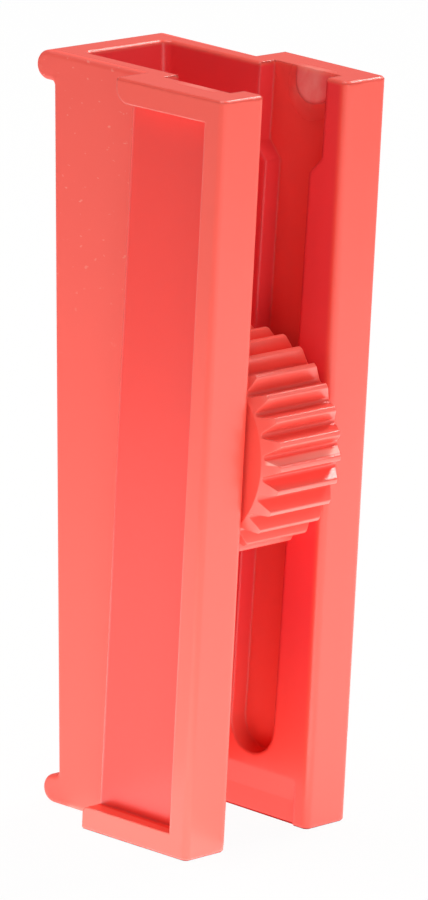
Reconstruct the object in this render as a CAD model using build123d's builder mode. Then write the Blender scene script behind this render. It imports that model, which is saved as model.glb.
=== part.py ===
from build123d import *
import os
from math import asin, cos, degrees, hypot, radians, sin, tan

os.makedirs("parts", exist_ok=True)

# Channel body: +Z runs along it, the open front faces -Y, and depths are behind the front plane.
# Widths are at the step between the thick front walls and the narrow rear half.
body_length = 54.0
front_width = 16.9
front_depth = 9.95
back_width = 11.4
back_depth_top = 18.8
back_depth_foot = 15.05
wall_toe = 1.7
channel_width = 8.1
floor_wall = 1.25
floor_corner = 0.6
rear_corner = 0.4

# Outside of the thick front walls: end flanges, sunk panel and front rail
flange_height = 1.7
flange_corner_top = 1.1
flange_corner_foot = 0.5
panel_drop = 1.35
panel_corner = 0.6
rail_width = 1.8
rail_corner = 0.25
front_outer_corner = 0.5
front_inner_corner = 0.5

# Lips across the back at both ends, and the softened rims of the end faces
lip_thickness = 2.1
lip_reach = 1.6
lip_root_corner = 0.3
lip_flat_share = 0.8
rim_bevel = 0.15

# Tracks for the trunnions, in the inside faces of the front walls
track_width = 4.2
track_depth = 1.5
track_lean = 0.75
track_foot = 4.4
entry_width = 6.4
entry_height = 5.7
entry_flare = 1.2

# Catch at the top of each track, a ramp that the trunnion snaps over
catch_width = 4.2
catch_height = 2.3
catch_rise = 0.7

# Shallow relief below each track, open at the foot, with a sloping upper edge
relief_width = 8.2
relief_depth = 0.35
relief_height = 3.4
relief_slope_height = 1.7

# Ribbed roller with its trunnions
roller_diameter = 15.5
roller_width = 7.6
roller_proud = 2.3
roller_height = 28.0
end_face_diameter = 13.2
end_bevel = 0.8
rib_count = 28
rib_turn = 0.5
rib_height = 1.3
rib_land = 0.36
rib_corner = 0.14
valley_corner = 0.25
trunnion_clearance = 0.1
trunnion_end_gap = 0.15
trunnion_bevel = 0.3

# How far cuts run past the faces that they open, and how near an edge lies to the place where it is picked
overrun = 1.0
pick = 0.001

# Places worked out from the sizes
depth = roller_proud + back_depth_top + lip_reach
front = roller_proud - depth / 2
step = front + front_depth
rail_back = front + rail_width
front_half = front_width / 2
back_half = back_width / 2
channel_half = channel_width / 2
panel_half = front_half - panel_drop
slope_run = back_depth_top - back_depth_foot
slope_length = hypot(slope_run, body_length)
slope_axis = Axis((0, 0, 0), (0, slope_run, body_length))
rear_start = step - floor_wall
lip_radius = lip_thickness / 2
lip_flat = lip_reach - lip_radius - slope_run * lip_thickness / body_length
lip_hollow = min(lip_root_corner, lip_flat * lip_flat_share)
rear_end = front + back_depth_top + lip_reach
roller_half = roller_width / 2
roller_radius = roller_diameter / 2
root_radius = roller_radius - rib_height
end_face_radius = end_face_diameter / 2
trunnion_radius = track_width / 2 - trunnion_clearance
trunnion_reach = channel_half + track_depth - trunnion_end_gap
roller_y = front + roller_radius - roller_proud
lean_cos = cos(radians(track_lean))
lean_sin = sin(radians(track_lean))
track_half = track_width / 2
entry_half = entry_width / 2


def back_at(height):
    """Place in Y of the sloping back face at a height."""
    return front + back_depth_foot + slope_run * height / body_length


def side_at(half, y):
    """Place in X of an outer side that leans in towards the front, half wide at the step."""
    return half + (y - step) * tan(radians(wall_toe))


def up_track(height):
    """Distance along the leaning track from the roller's axis to a height."""
    return (height - roller_height) / lean_cos


def corner_near(sketch, x, y):
    """Corner of a plan that lies nearest a place."""
    return sketch.vertices().sort_by_distance((x, y))[0]


def end_flange(base, corner, upper):
    """Flange slab of a front wall, with the rounded corner on the rear end's upper or lower edge."""
    with BuildPart() as flange:
        with BuildSketch(Plane.XY.offset(base)) as plan:
            Polygon(
                (channel_half, front),
                (side_at(front_half, front), front),
                (front_half, step),
                (channel_half, step),
                align=None,
            )
            fillet(corner_near(plan, side_at(front_half, front), front), front_outer_corner)
            fillet(corner_near(plan, channel_half, front), front_inner_corner)
        extrude(amount=flange_height)
        rear_edges = flange.edges().filter_by(Axis.X).group_by(Axis.Y)[-1].sort_by(Axis.Z)
        fillet(rear_edges[-1] if upper else rear_edges[0], corner)
    return flange.part


foot_flange = end_flange(0, flange_corner_foot, upper=True)
top_flange = end_flange(body_length - flange_height, flange_corner_top, upper=False)

# Space for the tube, with rounded corners along its sloping floor
with BuildPart() as channel:
    with BuildSketch(Plane.XY.offset(-overrun)):
        channel_floor = back_at(-overrun) - floor_wall
        with Locations((0, channel_floor)):
            Rectangle(channel_half, channel_floor - front + 2 * slope_run, align=(Align.MIN, Align.MAX))
    channel_length = slope_length * (body_length + 2 * overrun) / body_length
    extrude(amount=channel_length, dir=(0, slope_run, body_length))
    fillet(channel.edges().filter_by(slope_axis).group_by(Axis.X)[-1].sort_by(Axis.Y)[-1], floor_corner)

# Plane of an inside face, turned so that its own Y runs up the leaning track
track_plane = Plane(
    origin=(channel_half, roller_y, roller_height),
    x_dir=(0, lean_cos, lean_sin),
    z_dir=(1, 0, 0),
)

# Retaining catch: a ramp with a rounded lower end, thickest at that end and flush at the top of the body
with BuildPart() as catch:
    with BuildSketch(track_plane.offset(track_depth)):
        with Locations((catch_width / 2 - entry_half, up_track(body_length))):
            SlotOverall(2 * catch_height, catch_width, rotation=90)
    extrude(amount=-catch_rise)
    with BuildSketch(Plane.XZ.offset(-front)):
        Polygon(
            (channel_half + track_depth, body_length),
            (channel_half + track_depth, body_length - catch_height),
            (channel_half + track_depth - catch_rise, body_length - catch_height),
            align=None,
        )
    extrude(amount=-front_depth, mode=Mode.INTERSECT)

# One side of the body, mirrored at the end
with BuildPart() as body:
    # Narrow rear half: a side profile with a sloping back and round-nosed lips, each with a hollow corner
    with BuildSketch(Plane.YZ) as rear_profile:
        Polygon(
            (rear_start, 0),
            (back_at(0), 0),
            (back_at(body_length), body_length),
            (rear_start, body_length),
            align=None,
        )
        for end, inward in ((0, 1), (body_length, -1)):
            tip = back_at(end) + lip_reach
            with Locations((tip - lip_radius, end + inward * lip_radius)):
                Circle(lip_radius)
                Rectangle(tip - lip_radius - step, lip_thickness, align=(Align.MAX, Align.CENTER))
        for lip_root in (lip_thickness, body_length - lip_thickness):
            fillet(corner_near(rear_profile, back_at(lip_root), lip_root), lip_hollow)
    extrude(amount=front_half)

    # Its leaning side, with the outline rounded all along
    with BuildSketch():
        Polygon(
            (0, rear_start),
            (side_at(back_half, rear_start), rear_start),
            (side_at(back_half, rear_end), rear_end),
            (0, rear_end),
            align=None,
        )
    extrude(amount=body_length, mode=Mode.INTERSECT)
    fillet(body.faces().sort_by(Axis.X)[-1].edges().sort_by(Axis.Y)[1:], rear_corner)

    # Thick front wall: sunk panel and front rail in one plan, then the flanges at both ends
    with BuildSketch() as wall_plan:
        Polygon(
            (channel_half, front),
            (side_at(front_half, front), front),
            (side_at(front_half, rail_back), rail_back),
            (side_at(panel_half, rail_back), rail_back),
            (panel_half, step),
            (channel_half, step),
            align=None,
        )
        fillet(corner_near(wall_plan, side_at(front_half, front), front), front_outer_corner)
        fillet(corner_near(wall_plan, channel_half, front), front_inner_corner)
        fillet(corner_near(wall_plan, panel_half, step), panel_corner)
        fillet(corner_near(wall_plan, side_at(front_half, rail_back), rail_back), rail_corner)
    extrude(amount=body_length)
    add(foot_flange)
    add(top_flange)
    add(channel.part, mode=Mode.SUBTRACT)

    # Rims of the channel and the front walls, bevelled at both ends
    for end in (0, body_length):
        rim = body.edges().filter_by_position(Axis.Z, end - pick, end + pick)
        rim = rim.filter_by_position(Axis.X, pick, front_half + pick)
        inner_rim = rim.filter_by_position(Axis.X, pick, channel_half + front_inner_corner)
        outer_rim = rim.filter_by_position(Axis.Y, front - pick, step - pick)
        soft = [edge for edge in rim if edge in outer_rim or edge in inner_rim]
        chamfer([edge for edge in soft if edge.center().Y < back_at(end) - pick], rim_bevel)

    # Track with a round foot and a flared entry that opens through the top
    round_centre = up_track(track_foot + track_half)
    shoulder = up_track(body_length - entry_height - entry_flare)
    mouth = up_track(body_length - entry_height)
    above = up_track(body_length + overrun)
    with BuildSketch(track_plane):
        with BuildLine():
            Polyline(
                (-track_half, round_centre),
                (-track_half, shoulder),
                (-entry_half, mouth),
                (-entry_half, above),
                (entry_half, above),
                (entry_half, mouth),
                (track_half, shoulder),
                (track_half, round_centre),
            )
            ThreePointArc(
                (track_half, round_centre), (0, round_centre - track_half), (-track_half, round_centre)
            )
        make_face()
    extrude(amount=track_depth, mode=Mode.SUBTRACT)
    add(catch.part)

    # Relief below the track
    with BuildSketch(Plane.XZ.offset(relief_width / 2 - roller_y)):
        Polygon(
            (channel_half - overrun, -overrun),
            (channel_half + relief_depth, -overrun),
            (channel_half + relief_depth, relief_height - relief_slope_height),
            (channel_half, relief_height),
            (channel_half - overrun, relief_height),
            align=None,
        )
    extrude(amount=-relief_width, mode=Mode.SUBTRACT)
    mirror(about=Plane.YZ)
body.part.label = "clamp_body"
export_step(body.part, "parts/clamp_body.step")

# Rib outline of the roller, all round: a narrow land on each rib and a pointed valley after it
rib_pitch = 360 / rib_count
land_turn = degrees(asin(rib_land / 2 / roller_radius))
rib_outline = []
for rib in range(rib_count):
    for radius, turn in (
        (roller_radius, -land_turn),
        (roller_radius, land_turn),
        (root_radius, rib_pitch / 2),
    ):
        angle = radians(rib_turn + rib * rib_pitch + turn)
        rib_outline.append((radius * cos(angle), radius * sin(angle)))

# Roller: rounded valleys and lands, ends bevelled by a turned profile, trunnions through
axle_plane = Plane(origin=(0, roller_y, roller_height), x_dir=(0, -1, 0), z_dir=(1, 0, 0))
turning_plane = Plane(origin=(0, roller_y, roller_height), x_dir=(0, 1, 0), z_dir=(0, 0, -1))
bevel = end_bevel * (1 + overrun / (roller_radius - end_face_radius))
with BuildPart() as roller:
    with BuildSketch(axle_plane.offset(-roller_half)) as ribs:
        Polygon(*rib_outline, align=None)
        fillet(ribs.vertices().sort_by_distance((0, 0))[:rib_count], valley_corner)
        fillet(ribs.vertices().sort_by_distance((0, 0))[-2 * rib_count :], rib_corner)
    extrude(amount=roller_width)
    with BuildSketch(turning_plane):
        Polygon(
            (0, -roller_half),
            (end_face_radius, -roller_half),
            (roller_radius + overrun, bevel - roller_half),
            (roller_radius + overrun, roller_half - bevel),
            (end_face_radius, roller_half),
            (0, roller_half),
            align=None,
        )
    revolve(axis=Axis((0, roller_y, roller_height), (1, 0, 0)), mode=Mode.INTERSECT)
    with BuildSketch(axle_plane.offset(-trunnion_reach)):
        Circle(trunnion_radius)
    extrude(amount=2 * trunnion_reach)
    ends = roller.edges().group_by(Axis.X)
    chamfer(ends[0] + ends[-1], trunnion_bevel)
roller.part.label = "roller"
export_step(roller.part, "parts/roller.step")
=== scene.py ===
import math

import bpy
from mathutils import Matrix, Vector

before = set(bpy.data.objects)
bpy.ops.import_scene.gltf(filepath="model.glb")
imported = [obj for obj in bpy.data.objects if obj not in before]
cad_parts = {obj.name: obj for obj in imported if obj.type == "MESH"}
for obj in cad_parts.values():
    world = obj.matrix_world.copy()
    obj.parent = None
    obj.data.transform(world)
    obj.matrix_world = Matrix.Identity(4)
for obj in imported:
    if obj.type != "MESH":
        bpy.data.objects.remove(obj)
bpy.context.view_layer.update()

MM = 0.001


def box_of(node):
    """Lowest and highest corner of a CAD node's box, in the node's own frame."""
    corners = [Vector(corner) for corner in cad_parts[node].bound_box]
    low = Vector([min(corner[axis] for corner in corners) for axis in range(3)])
    high = Vector([max(corner[axis] for corner in corners) for axis in range(3)])
    return low, high


# Places on the clamp body: its box, depths behind its front plane, heights, and half widths from the middle
body_low, body_high = box_of("clamp_body")
FRONT_Y = body_low.y
RAIL_Y = FRONT_Y + 1.8 * MM
CATCH_Y = FRONT_Y + 4.7 * MM
STEP_Y = FRONT_Y + 9.95 * MM
FLOOR_FOOT_Y = FRONT_Y + 13.8 * MM
TOP_Z = body_high.z
CATCH_Z = TOP_Z - 1.3 * MM
SPECKS_DENSE_Z = TOP_Z - 9.0 * MM
SPECKS_END_Z = TOP_Z - 24.0 * MM
FOOT_FADE = (1.0 * MM, 17.0 * MM)
FLOOR_SLOPE = 3.75 * MM / TOP_Z
FLANGE_HEIGHT = 1.7 * MM
CHANNEL_HALF = 4.05 * MM
TRACK_HALF = 5.55 * MM
BACK_HALF = 5.7 * MM
EDGE_HALF = 6.2 * MM
PANEL_HALF = 7.1 * MM

# Reach of the scuffing and painted sheen on the catches, and rounding of the body's edges near the middle
# and further out
SCUFF_SHEEN_DEPTH = 2.4 * MM
SCUFF_SHEEN_HEIGHT = 2.6 * MM
INNER_EDGE_RADIUS = 0.4 * MM
OUTER_EDGE_RADIUS = 0.18 * MM

# Places on the roller: its axle, the size of its ribs, and the turns that bound the flank with a painted
# highlight
roller_low, roller_high = box_of("roller")
AXLE = (roller_low + roller_high) / 2
RIB_RADIUS = (roller_high.z - roller_low.z) / 2
RIB_HALF = 3.8 * MM
RIB_TIP = 0.55 * MM
RIB_EDGE_RADIUS = 0.1 * MM
HIGHLIGHT_FLANK = (math.radians(2.0), math.radians(4.0))

# Colours of the plastic: as moulded, deeper as painted shade in sunk places, matt, and paler for wear,
# specks, scuffing, painted highlights and painted sheen
RED = (0.92, 0.102, 0.073, 1.0)
ROLLER_RED = (0.96, 0.110, 0.084, 1.0)
DEEP_RED = (0.90, 0.043, 0.030, 1.0)
INNER_SHADE_RED = (0.86, 0.048, 0.054, 1.0)
MATT_RED = (0.93, 0.103, 0.077, 1.0)
PALE_RED = (0.95, 0.45, 0.40, 1.0)
SCUFF_AND_HIGHLIGHT_RED = (0.98, 0.55, 0.47, 1.0)

# Finishes: roughness as moulded, what matt and scuffed places add to it, and how far the scuffing with its
# painted sheen covers the red
BODY_ROUGHNESS = 0.27
ROLLER_ROUGHNESS = 0.3
MATT_ROUGHNESS = 0.25
SCUFF_ROUGHNESS = 0.2
SCUFF_SHEEN_SHARE = 0.36
PLASTIC_IOR = 1.5
BEVEL_SAMPLES = 8

# Light: white of the floor and the lamps, and the floor's own white as the camera and reflections see it
FLOOR_WHITE = (0.9, 0.9, 0.9, 1.0)
LAMP_WHITE = (1.0, 0.97, 0.93)
FLOOR_HALF = 3.0
SEEN_SHARE = 0.96
MIRRORED_SHARE = 0.55
FOOT_SHADOW = (8.5 * MM, 11.0 * MM)


def add(tree, kind, inputs=None, **settings):
    """A new node with its settings, and with each input linked to a socket or set to a constant."""
    made = tree.nodes.new(kind)
    for key, value in settings.items():
        setattr(made, key, value)
    for key, value in (inputs or {}).items():
        if isinstance(value, bpy.types.NodeSocket):
            tree.links.new(value, made.inputs[key])
        else:
            made.inputs[key].default_value = value
    return made


def maths(tree, operation, first, second=0.0):
    """Socket of a sum, product or other operation on one or two values."""
    return add(tree, "ShaderNodeMath", {0: first, 1: second}, operation=operation).outputs[0]


def ramp(tree, value, low, high, start=0.0, end=1.0):
    """Socket that goes smoothly from start to end while a value goes from low to high."""
    inputs = {"Value": value, "From Min": low, "From Max": high, "To Min": start, "To Max": end}
    return add(tree, "ShaderNodeMapRange", inputs, interpolation_type="SMOOTHSTEP").outputs["Result"]


def fade(tree, value, low, high):
    """Socket that falls smoothly from 1 to 0 while a value goes from low to high."""
    return ramp(tree, value, low, high, start=1.0, end=0.0)


def between(tree, value, low, high, soft):
    """Socket that is 1 while a value lies between two limits, with soft ends."""
    return maths(tree, "MULTIPLY", ramp(tree, value, low - soft, low), fade(tree, value, high, high + soft))


def product(tree, *values):
    """Socket of the product of several values."""
    total = values[0]
    for value in values[1:]:
        total = maths(tree, "MULTIPLY", total, value)
    return total


def distance(tree, first, second):
    """Socket of the root of the sum of two squares."""
    squares = [maths(tree, "MULTIPLY", value, value) for value in (first, second)]
    return maths(tree, "SQRT", maths(tree, "ADD", *squares))


def blend(tree, share, first, second):
    """Socket of a colour between two colours."""
    made = add(tree, "ShaderNodeMix", data_type="RGBA")
    for index, value in ((0, share), (6, first), (7, second)):
        if isinstance(value, bpy.types.NodeSocket):
            tree.links.new(value, made.inputs[index])
        else:
            made.inputs[index].default_value = value
    return made.outputs[2]


def noise(tree, place, scale, detail, stretch=(1.0, 1.0, 1.0)):
    """Socket of a noise from 0 to 1 over a place, stretched along the axes."""
    mapped = add(tree, "ShaderNodeMapping", {"Vector": place, "Scale": stretch}).outputs[0]
    inputs = {"Vector": mapped, "Scale": scale, "Detail": detail}
    return add(tree, "ShaderNodeTexNoise", inputs).outputs["Fac"]


def new_material(name):
    """Empty node material, with its tree and its output node."""
    material = bpy.data.materials.new(name)
    material.use_nodes = True
    material.node_tree.nodes.clear()
    return material, material.node_tree, material.node_tree.nodes.new("ShaderNodeOutputMaterial")


def part_place(tree):
    """Sockets of the place on a piece, whole and along each axis."""
    place = add(tree, "ShaderNodeTexCoord").outputs["Object"]
    return place, add(tree, "ShaderNodeSeparateXYZ", {"Vector": place}).outputs


def edge_normal(tree, radius):
    """Socket of the surface's normal, rounded over the edges."""
    return add(tree, "ShaderNodeBevel", {"Radius": radius}, samples=BEVEL_SAMPLES).outputs[0]


def moulded_colour(tree, place, red):
    """Socket of a red that is faintly uneven, in streaks along the flow of the plastic."""
    flow = noise(tree, place, scale=60.0, detail=1.0, stretch=(1.0, 1.0, 0.3))
    return blend(tree, ramp(tree, flow, low=0.3, high=0.7, end=0.1), red, DEEP_RED)


def gloss(tree, output, colour, roughness, normal):
    """Glossy plastic surface."""
    inputs = {"Base Color": colour, "Roughness": roughness, "IOR": PLASTIC_IOR, "Normal": normal}
    shader = add(tree, "ShaderNodeBsdfPrincipled", inputs)
    tree.links.new(shader.outputs[0], output.inputs["Surface"])


def worn_highlit_edges(tree, place, across, rounded):
    """Share of wear and painted highlight on the outer edges, unevenly: where the rounded normal turns away
    from the flat one, by 1 less the cosine between them."""
    flat = add(tree, "ShaderNodeNewGeometry").outputs["Normal"]
    normals = {0: rounded, 1: flat}
    alike = add(tree, "ShaderNodeVectorMath", normals, operation="DOT_PRODUCT").outputs["Value"]
    edge = ramp(tree, maths(tree, "SUBTRACT", 1.0, alike), low=0.01, high=0.2)
    outer = ramp(tree, across, EDGE_HALF, EDGE_HALF + 0.4 * MM)
    patches = noise(tree, place, scale=700.0, detail=3.0)
    return product(tree, edge, outer, ramp(tree, patches, low=0.35, high=0.7, start=0.1, end=0.55))


def inner_walls(tree, axes, across):
    """Share of painted shade on the channel's inside: no further out than the bottoms of the tracks, no
    further back than the sloping floor, behind the front edges and below the top face, and fainter towards
    the foot."""
    slope = maths(tree, "MULTIPLY", axes["Z"], FLOOR_SLOPE)
    level = maths(tree, "SUBTRACT", axes["Y"], slope)
    return product(
        tree,
        fade(tree, across, TRACK_HALF - 0.05 * MM, TRACK_HALF + 0.05 * MM),
        fade(tree, level, FLOOR_FOOT_Y + 0.3 * MM, FLOOR_FOOT_Y + 0.6 * MM),
        ramp(tree, axes["Y"], FRONT_Y + 0.25 * MM, FRONT_Y + 0.85 * MM),
        fade(tree, axes["Z"], TOP_Z - 0.4 * MM, TOP_Z - 0.1 * MM),
        ramp(tree, axes["Z"], *FOOT_FADE, start=0.1),
    )


def rear_sides(tree, axes, across):
    """Share of the outer sides of the narrow rear half."""
    behind = ramp(tree, axes["Y"], STEP_Y + 0.1 * MM, STEP_Y + 0.3 * MM)
    outside = ramp(tree, across, BACK_HALF - 0.45 * MM, BACK_HALF - 0.2 * MM)
    return maths(tree, "MULTIPLY", behind, outside)


def top_specks(tree, place, axes):
    """Share of small pale specks: most near the top, thinning out to none just above mid height."""
    high = ramp(tree, axes["Z"], SPECKS_END_Z, SPECKS_DENSE_Z, end=0.35)
    grain = noise(tree, place, scale=3400.0, detail=2.0, stretch=(1.0, 0.4, 0.8))
    return maths(tree, "MULTIPLY", ramp(tree, grain, low=0.67, high=0.74), high)


def sunk_panels(tree, axes, across):
    """Share of painted shade on the sunk panels on the outer sides, between the rails, the steps and the
    flanges.
    """
    return product(
        tree,
        between(tree, across, PANEL_HALF - 0.6 * MM, PANEL_HALF + 0.2 * MM, soft=0.2 * MM),
        between(tree, axes["Y"], RAIL_Y, STEP_Y - 0.4 * MM, soft=0.1 * MM),
        between(tree, axes["Z"], FLANGE_HEIGHT, TOP_Z - FLANGE_HEIGHT, soft=0.1 * MM),
    )


def scuffed_sheen_catches(tree, place, axes, across):
    """Share of scuffing and painted sheen on the catches at the top of the tracks: a soft oval, cloudy
    inside.
    """
    depth = maths(tree, "DIVIDE", maths(tree, "SUBTRACT", axes["Y"], CATCH_Y), SCUFF_SHEEN_DEPTH)
    height = maths(tree, "DIVIDE", maths(tree, "SUBTRACT", axes["Z"], CATCH_Z), SCUFF_SHEEN_HEIGHT)
    oval = fade(tree, distance(tree, depth, height), low=0.2, high=1.0)
    inside = between(tree, across, CHANNEL_HALF + 0.5 * MM, TRACK_HALF + 0.5 * MM, soft=0.3 * MM)
    clouds = noise(tree, place, scale=900.0, detail=3.0, stretch=(1.0, 1.0, 0.6))
    return product(tree, oval, inside, ramp(tree, clouds, low=0.3, high=0.65, start=0.4))


def body_plastic():
    """Red plastic of the clamp body: pale on the outer edges for wear and a painted highlight, matt and
    specked on the rear sides, deeper in the channel and the sunk panels as painted shade, and scuffed with a
    painted sheen on the catches."""
    material, tree, output = new_material("clamp_body_red")
    place, axes = part_place(tree)
    across = maths(tree, "ABSOLUTE", axes["X"])
    radii = {"start": INNER_EDGE_RADIUS, "end": OUTER_EDGE_RADIUS}
    edge_radius = ramp(tree, across, BACK_HALF - 0.5 * MM, BACK_HALF + 0.1 * MM, **radii)
    rounded = edge_normal(tree, edge_radius)
    rear = rear_sides(tree, axes, across)
    scuff_and_sheen = scuffed_sheen_catches(tree, place, axes, across)
    colour = moulded_colour(tree, place, RED)
    # Pale on the outer edges: partly wear, partly a painted highlight
    colour = blend(tree, worn_highlit_edges(tree, place, across, rounded), colour, PALE_RED)
    # Painted shade: the channel's inside is coloured a deeper red for its shade
    colour = blend(tree, inner_walls(tree, axes, across), colour, INNER_SHADE_RED)
    colour = blend(tree, rear, colour, MATT_RED)
    colour = blend(tree, maths(tree, "MULTIPLY", top_specks(tree, place, axes), rear), colour, PALE_RED)
    # Painted shade: the sunk panels are coloured a deeper red for their shade
    colour = blend(tree, sunk_panels(tree, axes, across), colour, DEEP_RED)
    # Pale oval on the catches: a scuff with a painted sheen
    colour = blend(tree, maths(tree, "MULTIPLY", scuff_and_sheen, SCUFF_SHEEN_SHARE), colour, SCUFF_AND_HIGHLIGHT_RED)
    matt = maths(tree, "MULTIPLY", rear, MATT_ROUGHNESS)
    scuffed = maths(tree, "MULTIPLY", scuff_and_sheen, SCUFF_ROUGHNESS)
    roughness = maths(tree, "ADD", maths(tree, "ADD", matt, scuffed), BODY_ROUGHNESS)
    gloss(tree, output, colour, roughness, rounded)
    return material


def roller_plastic():
    """Red plastic of the roller, paler on the tips of the ribs as a painted highlight, and with a painted
    highlight on one flank:
    between two turns about the axle and near the tips, more towards +X."""
    material, tree, output = new_material("roller_red")
    place, axes = part_place(tree)
    forward = maths(tree, "SUBTRACT", AXLE.y, axes["Y"])
    upward = maths(tree, "SUBTRACT", axes["Z"], AXLE.z)
    radius = distance(tree, forward, upward)
    turn = maths(tree, "ARCTAN2", upward, forward)
    flank = between(tree, turn, *HIGHLIGHT_FLANK, soft=math.radians(0.9))
    outside = ramp(tree, radius, RIB_RADIUS - 1.0 * MM, RIB_RADIUS - 0.7 * MM)
    along = ramp(tree, axes["X"], -RIB_HALF, RIB_HALF, start=0.6)
    colour = moulded_colour(tree, place, ROLLER_RED)
    # Painted highlight: the tips of the ribs are made paler
    colour = blend(tree, ramp(tree, radius, RIB_RADIUS - RIB_TIP, RIB_RADIUS, end=0.12), colour, PALE_RED)
    # Painted highlight: one flank near the tips is made pale, more towards +X
    colour = blend(tree, product(tree, flank, outside, along), colour, SCUFF_AND_HIGHLIGHT_RED)
    gloss(tree, output, colour, ROLLER_ROUGHNESS, edge_normal(tree, RIB_EDGE_RADIUS))
    return material


def floor_piece():
    """Wide white floor under the part. Most of its white is its own where the camera sees it, and part of it
    in reflections, except close to the foot, where the part's shadow lies."""
    corners = [(x * FLOOR_HALF, y * FLOOR_HALF, 0) for x, y in ((-1, -1), (1, -1), (1, 1), (-1, 1))]
    mesh = bpy.data.meshes.new("floor")
    mesh.from_pydata(corners, [], [(0, 1, 2, 3)])
    piece = bpy.data.objects.new("floor", mesh)
    bpy.context.collection.objects.link(piece)
    material, tree, output = new_material("floor_white")
    place = add(tree, "ShaderNodeTexCoord").outputs["Object"]
    away = add(tree, "ShaderNodeVectorMath", {0: place}, operation="LENGTH").outputs["Value"]
    path = add(tree, "ShaderNodeLightPath").outputs
    shiny = maths(tree, "MAXIMUM", path["Is Glossy Ray"], path["Is Transmission Ray"])
    beyond_foot = ramp(tree, away, *FOOT_SHADOW, end=MIRRORED_SHARE)
    mirrored = maths(tree, "MULTIPLY", shiny, beyond_foot)
    seen = maths(tree, "MULTIPLY", path["Is Camera Ray"], SEEN_SHARE)
    share = maths(tree, "MAXIMUM", seen, mirrored)
    lit = add(tree, "ShaderNodeBsdfDiffuse", {"Color": FLOOR_WHITE}).outputs[0]
    glow = add(tree, "ShaderNodeEmission", {"Strength": 1.0}).outputs[0]
    mixed = add(tree, "ShaderNodeMixShader", {0: share, 1: lit, 2: glow}).outputs[0]
    tree.links.new(mixed, output.inputs["Surface"])
    mesh.materials.append(material)


def studio_world(behind, before):
    """Plain white surroundings, brightest before the part, and a little dimmer behind it and overhead."""
    world = bpy.data.worlds.new("studio")
    bpy.context.scene.world = world
    world.use_nodes = True
    tree = world.node_tree
    tree.nodes.clear()
    towards = add(tree, "ShaderNodeTexCoord").outputs["Generated"]
    axes = add(tree, "ShaderNodeSeparateXYZ", {"Vector": towards}).outputs
    level = ramp(tree, axes["Y"], low=-0.7, high=0.5, start=before, end=behind)
    overhead = ramp(tree, axes["Z"], low=0.2, high=1.0, start=1.0, end=0.8)
    strength = maths(tree, "MULTIPLY", level, overhead)
    sky = add(tree, "ShaderNodeBackground", {"Strength": strength}).outputs[0]
    tree.links.new(sky, tree.nodes.new("ShaderNodeOutputWorld").inputs["Surface"])


def softbox(name, place, aim, size, power):
    """Square soft lamp of a faintly warm white at a place, turned to a point."""
    lamp = bpy.data.lights.new(name, "AREA")
    lamp.size = size
    lamp.energy = power
    lamp.color = LAMP_WHITE
    piece = bpy.data.objects.new(name, lamp)
    piece.location = place
    piece.rotation_euler = (Vector(aim) - Vector(place)).to_track_quat("-Z", "Y").to_euler()
    piece.visible_camera = False
    bpy.context.collection.objects.link(piece)


def photo_camera(place, aim, roll, lens):
    """Camera at a place, looking at a point, turned by a roll about its line of sight."""
    data = bpy.data.cameras.new("camera")
    data.sensor_width = 36.0
    data.lens = lens
    data.clip_start = 0.01
    piece = bpy.data.objects.new("camera", data)
    look = (Vector(aim) - Vector(place)).to_track_quat("-Z", "Y").to_matrix().to_4x4()
    piece.matrix_world = Matrix.Translation(place) @ look @ Matrix.Rotation(math.radians(roll), 4, "Z")
    bpy.context.collection.objects.link(piece)
    bpy.context.scene.camera = piece


for node, plastic in (("clamp_body", body_plastic()), ("roller", roller_plastic())):
    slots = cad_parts[node].data.materials
    slots.clear()
    slots.append(plastic)

# Soft lamps round the part, and two that face up from just above the floor
CENTRE = (0.0, 0.0, 0.03)
LOW = 0.08 * MM
floor_piece()
studio_world(behind=0.32, before=0.42)
softbox("key", place=(-0.13, -0.68, 0.13), aim=CENTRE, size=0.36, power=1.05)
softbox("side", place=(0.354, 0.02, 0.37), aim=CENTRE, size=0.14, power=1.1)
softbox("top", place=(-0.04, 0.08, 0.45), aim=CENTRE, size=0.25, power=1.2)
softbox("low_front", place=(0.02, -0.105, LOW), aim=(0.02, -0.105, 1.0), size=0.22, power=0.175)
softbox("low_left", place=(-0.058, 0.02, LOW), aim=(-0.058, 0.02, 1.0), size=0.11, power=0.045)
photo_camera(
    place=(-0.35627, -0.33975, 0.15226), aim=(0.000927, -0.001168, 0.026621), roll=2.918, lens=289.08
)

bpy.context.scene.view_settings.view_transform = "Standard"
